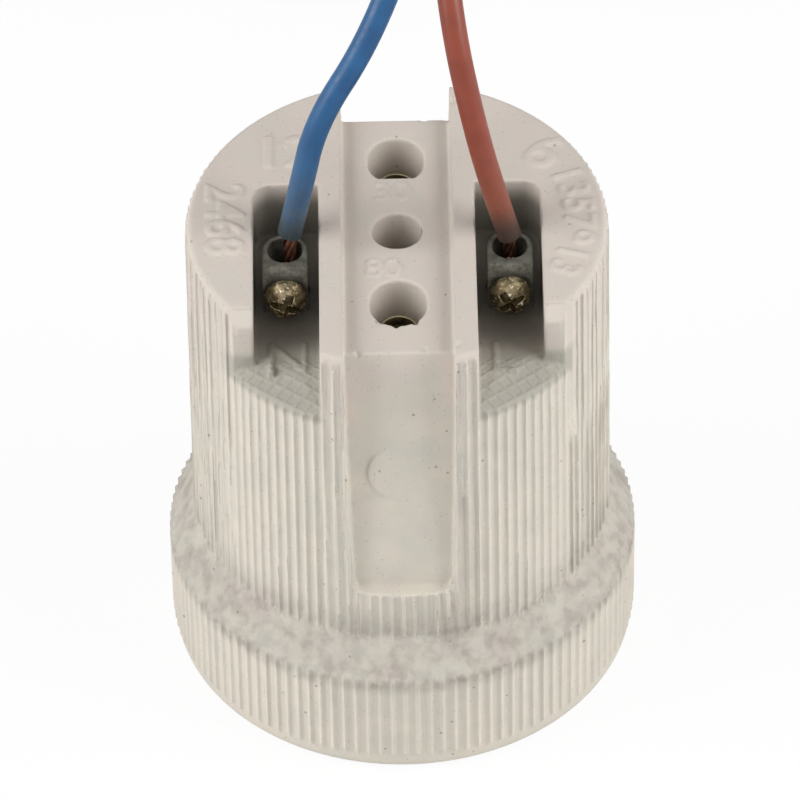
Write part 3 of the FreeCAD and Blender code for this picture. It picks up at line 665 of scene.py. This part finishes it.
def raised_text(word, height, centre, turn=0.0, thicken=0.03, rise=MARK_RISE):
    """One raised word: centre is its middle on the surface, turn is about Z."""
    bpy.ops.object.text_add()
    text = named("mark_" + word)
    text.data.body = word
    text.data.size = height / 0.7
    text.data.extrude = rise
    text.data.offset = thicken * height
    text.data.align_x = "CENTER"
    text.data.align_y = "CENTER"
    text.data.resolution_u = 6
    only(text)
    bpy.ops.object.convert(target="MESH")
    mark = bpy.context.object
    mark.rotation_euler = (0, 0, math.radians(turn))
    mark.location = Vector(centre)
    settle(mark)
    return edit_all(mark, lambda: bpy.ops.mesh.remove_doubles(threshold=0.002 * MM))


marks = [
    raised_text("N", 4.2 * MM, (-10.7 * MM, -12.35 * MM, FLOOR), thicken=0.0),
    raised_text("L", 4.2 * MM, (10.0 * MM, -12.7 * MM, FLOOR), thicken=0.0),
    raised_text("12", 4.3 * MM, (-10.9 * MM, 9.8 * MM, top)),
    raised_text("30", 2.6 * MM, (-0.4 * MM, 5.5 * MM, CHANNEL), rise=0.14 * MM),
    raised_text("80", 2.6 * MM, (-1.4 * MM, -5.4 * MM, CHANNEL), rise=0.14 * MM),
    raised_text("2468", 3.6 * MM, (-16.9 * MM, 0.4 * MM, top), turn=-90.0),
    raised_text("6", 4.6 * MM, (14.4 * MM, 9.2 * MM, top), turn=-30.0),
]
for place_in_row, digit in enumerate("1357913"):
    angle = math.radians(20.0 - 7.4 * place_in_row)
    centre = (ARC_RADIUS * math.cos(angle), ARC_RADIUS * math.sin(angle), top)
    marks.append(raised_text(digit, 3.0 * MM, centre, turn=math.degrees(angle) - 90.0))

# %% The round pad on the flute
# A press pin left a round, slightly tilted pad: its left edge stands up, the right one fades.
bpy.ops.mesh.primitive_cylinder_add(vertices=64, radius=3.6 * MM, depth=1.0 * MM,
                                    location=(0.3 * MM, -17.80 * MM, 37.0 * MM),
                                    rotation=(math.radians(86.0), 0, math.radians(2.4)))
marks.append(settle(named("press_pad")))
# The rear screw hole is shorter than the front one: a lip narrows its front end.
marks.append(block((-2.9, 6.4, 47.5), (2.9, 7.7, 51.97)))
body = joined([body] + marks, "porcelain_body")

# %% Remeshing the body
# The ribs run upright, so they need close points across but few along: the blank is
# squashed in height while it is remeshed, which stretches the voxels, and then let go.
SQUASH = 0.42
VOXEL = 0.15 * MM
body.scale.z = SQUASH
settle(body)
body.data.remesh_voxel_size = VOXEL
bpy.ops.object.voxel_remesh()
body.scale.z = 1 / SQUASH
settle(body)
print("after remeshing:", triangles(body), "triangles")

# %% Softening and thinning the body
BODY_TRIANGLES = 194000
soften = body.modifiers.new("soften", "SMOOTH")
soften.factor = 0.5
soften.iterations = 5
finish_modifiers(body)
bpy.ops.object.shade_smooth()
only(body)
bpy.ops.object.duplicate()
dense = named("dense_body")

inner = body.vertex_groups.new(name="inner")
inner.add([vertex.index for vertex in body.data.vertices
           if math.hypot(vertex.co.x, vertex.co.y) < 16.2 * MM and vertex.co.z < 40.8 * MM], 1.0, "REPLACE")
thin_inside = body.modifiers.new("thin inside", "DECIMATE")
thin_inside.vertex_group = "inner"
thin_inside.ratio = 0.8
finish_modifiers(body)
print("after thinning the inside:", triangles(body), "triangles")
thin = body.modifiers.new("thin", "DECIMATE")
thin.ratio = min(1.0, BODY_TRIANGLES / triangles(body))
finish_modifiers(body)
print("after thinning:", triangles(body), "triangles")
body.vertex_groups.clear()

# %% Shading from the full mesh
# Long thin triangles shade in streaks. Their corners take the direction that the surface
# has on the full mesh, which is then deleted.
carry = body.modifiers.new("carry shading", "DATA_TRANSFER")
carry.object = dense
carry.use_loop_data = True
carry.data_types_loops = {"CUSTOM_NORMAL"}
carry.loop_mapping = "POLYINTERP_NEAREST"
finish_modifiers(body)
bpy.data.objects.remove(dense)
worn_by(body, porcelain)
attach(body, "holder")
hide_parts("ceramic_body")

# %% [markdown]
# ## The turned and pressed metal pieces
#
# The solids of the metal pieces are true to size but knife-sharp. A copy of each one has
# its flat faces merged, gets a small bevel along its sharp edges and smooth shading, so
# that light catches the edges as it does on plated parts.

# %% Bevelled metal pieces


def dressed(node_name, finish, edge, body_name="holder", smooth=35.0, slice_at=None):
    """A bevelled, smoothly shaded copy of a frame solid that replaces it."""
    piece = merged_copy(node_name, node_name + "_dressed")
    if slice_at:
        place, normal = slice_at
        edit_all(piece, lambda: bpy.ops.mesh.bisect(
            plane_co=[value * MM for value in place], plane_no=normal, use_fill=True, clear_outer=True))
    edit_all(piece, lambda: bpy.ops.mesh.dissolve_limited(angle_limit=math.radians(1.0)))
    if edge:
        bevel = piece.modifiers.new("edge", "BEVEL")
        bevel.width = edge * MM
        bevel.segments = 2
        bevel.angle_limit = math.radians(40)
        finish_modifiers(piece)
    only(piece)
    bpy.ops.object.shade_smooth_by_angle(angle=math.radians(smooth))
    worn_by(piece, finish)
    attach(piece, body_name)
    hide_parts(node_name)
    return piece


for node_name, finish, slot, edge in (
        ("neutral_terminal", nickel, "plated_terminal", 0.12),
        ("live_terminal", nickel, "plated_terminal", 0.12),
        ("front_eyelet", brass, "eyelet_brass", 0.08),
        ("rear_eyelet", brass, "eyelet_brass", 0.08),
        ("centre_rivet", brass, "eyelet_brass", 0.08),
        ("screw_shell", shell_plate, "plated_shell", 0.0)):
    upper_edge = ((0, -5.0, 52.0), (0, -0.88, 0.48)) if finish is nickel else None
    made = dressed(node_name, finish, edge, slice_at=upper_edge)
    print(node_name, triangles(made), "triangles")
# The eyelets' tops are rolled up to a thin collar inside each screw hole.
for end, sign in (("front", -1), ("rear", 1)):
    eyelet = bpy.data.objects[end + "_eyelet_dressed"]
    flange_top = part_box(end + "_eyelet")[1].z
    bpy.ops.mesh.primitive_cylinder_add(
        vertices=64, radius=1.78 * MM, depth=1.3 * MM, end_fill_type="NOTHING",
        location=(0, sign * 10.2 * MM, flange_top + 0.5 * MM))
    collar = named("collar")
    settle(collar)
    wall = collar.modifiers.new("wall", "SOLIDIFY")
    wall.thickness = 0.32 * MM
    wall.offset = 0.0
    lip = collar.modifiers.new("lip", "BEVEL")
    lip.width = 0.1 * MM
    lip.segments = 2
    finish_modifiers(collar)
    bpy.ops.object.shade_smooth_by_angle(angle=math.radians(35))
    worn_by(collar, brass)
    joined([eyelet, collar], eyelet.name)
dressed("contact_button", brass, 0.06, body_name="contact")
worn_by(nodes["centre_contact_strip"], bronze)

# %% [markdown]
# ## The clamp screws
#
# The screws are small pan heads with a cross recess that a driver has worn. Remeshing
# with fine voxels and smoothing rounds every corner of the head and of its recess.

# %% Worn clamp screws
SCREW_TRIANGLES = 24000
for side, turn in (("neutral", 25.0), ("live", -8.0)):
    screw = merged_copy(side + "_clamp_screw", side + "_screw_worn")
    low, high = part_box(side + "_clamp_screw")
    axis = Vector(((low.x + high.x) / 2, low.y, (low.z + high.z) / 2))
    edit_all(screw, lambda: bpy.ops.transform.rotate(
        value=math.radians(turn), orient_axis="Y", center_override=axis))
    screw.data.remesh_voxel_size = 0.07 * MM
    only(screw)
    bpy.ops.object.voxel_remesh()
    wear = screw.modifiers.new("wear", "SMOOTH")
    wear.factor = 0.5
    wear.iterations = 6
    finish_modifiers(screw)
    fewer = screw.modifiers.new("fewer", "DECIMATE")
    fewer.ratio = min(1.0, SCREW_TRIANGLES / triangles(screw))
    finish_modifiers(screw)
    bpy.ops.object.shade_smooth()
    worn_by(screw, screw_plate)
    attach(screw, side + "_screw")
    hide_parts(side + "_clamp_screw")
    print(screw.name, triangles(screw), "triangles")

# %% [markdown]
# ## Stranded copper
#
# The leads' conductor is seven thin copper wires twisted together. Seven circles are
# drawn once and a Screw modifier sweeps them along the axis while it turns them.

# %% Twisted wires
# The radius of one wire, and the length over which the wires make one full turn.
WIRE = 0.233 * MM
WIRE_LAY = 9 * MM


def twisted_core(name, start, end, node_name, finish):
    """Seven twisted wires from start to end, in millimetres."""
    start, end = Vector(start) * MM, Vector(end) * MM
    rings = []
    for number in range(7):
        reach = 0.0 if number == 6 else 2 * WIRE
        angle = number * math.tau / 6
        bpy.ops.mesh.primitive_circle_add(vertices=12, radius=WIRE, fill_type="NGON",
                                          location=(reach * math.cos(angle), reach * math.sin(angle), 0))
        rings.append(settle(named("wire")))
    core = joined(rings, name)
    length = (end - start).length
    sweep = core.modifiers.new("sweep", "SCREW")
    sweep.screw_offset = length
    sweep.angle = math.tau * length / WIRE_LAY
    sweep.steps = sweep.render_steps = 36
    finish_modifiers(core)
    edit_all(core, lambda: bpy.ops.mesh.remove_doubles(threshold=0.001 * MM),
             lambda: bpy.ops.mesh.fill_holes(sides=0),
             lambda: bpy.ops.mesh.select_all(action="SELECT"),
             lambda: bpy.ops.mesh.normals_make_consistent(inside=False))
    core.rotation_mode = "QUATERNION"
    core.rotation_quaternion = (end - start).to_track_quat("Z", "X")
    core.location = start
    settle(core)
    bpy.ops.object.shade_smooth_by_angle(angle=math.radians(50))
    worn_by(core, finish)
    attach(core, "holder")
    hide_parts(node_name)
    return core


# In millimetres: where the wires end in the terminals, how far they reach into the
# insulation and how much is bare at the free end.
CORE_FOOT, TUCKED_IN, STRIPPED = 47.75, 0.4, 6.9
for side, lead in LEADS.items():
    x, y, z = lead["exit"]
    last, before = Vector(lead["route"][-1]), Vector(lead["route"][-2])
    along = (last - before).normalized()
    twisted_core(side + "_core_wires", (x, y, CORE_FOOT), (x, y, z + TUCKED_IN),
                     side + "_lead_core", old_copper)
    twisted_core(side + "_tip_wires", last - along * TUCKED_IN, last + along * STRIPPED,
                     side + "_lead_tip", copper)

# %% [markdown]
# ## Floor and light
#
# A pale floor and large soft lamps on both sides light the holder as in a light tent.

# %% Floor and light
FLOOR_SIZE = 6.0
bpy.ops.mesh.primitive_plane_add(size=FLOOR_SIZE, location=(0, 0, -0.02 * MM))
floor = named("floor")
paper, tree, shader, place = new_material("pale floor", Roughness=0.9, Base_Color=(0.88, 0.88, 0.875, 1))
seen = node(tree, "LightPath")
white = node(tree, "Emission", Strength=1.0)
blended = node(tree, "MixShader", i1=shader.outputs[0], i2=white.outputs[0])
tree.links.new(times(tree, seen.outputs["Is Camera Ray"], 0.92), blended.inputs[0])
tree.links.new(blended.outputs[0], tree.nodes["Material Output"].inputs[0])
worn_by(floor, paper)

world = bpy.data.worlds.new("light tent")
bpy.context.scene.world = world
world.use_nodes = True
tree = world.node_tree
sky = tree.nodes["Background"]
sky.inputs[0].default_value = (1.0, 1.0, 1.0, 1)
path = node(tree, "LightPath")
bright = node(tree, "Math", {"operation": "MAXIMUM"}, i0=path.outputs["Is Camera Ray"],
              i1=path.outputs["Is Glossy Ray"])
level = node(tree, "MapRange", Value=bright.outputs[0])
level.inputs["To Min"].default_value = 0.27
level.inputs["To Max"].default_value = 1.0
tree.links.new(level.outputs[0], sky.inputs[1])


def softbox(name, place, size, power):
    """A large square lamp that faces the holder."""
    bpy.ops.object.light_add(type="AREA", location=place)
    lamp = named(name)
    lamp.data.shape = "SQUARE"
    lamp.data.size = size
    lamp.data.energy = power
    lamp.rotation_mode = "QUATERNION"
    lamp.rotation_quaternion = (middle_of_holder - lamp.location).to_track_quat("-Z", "Y")
    return lamp


softbox("left softbox", (-0.56, -0.17, 0.40), 0.5, 4.0)
softbox("right softbox", (0.56, -0.17, 0.40), 0.5, 3.9)
softbox("front softbox", (0.0, -0.70, 0.42), 0.6, 0.4)
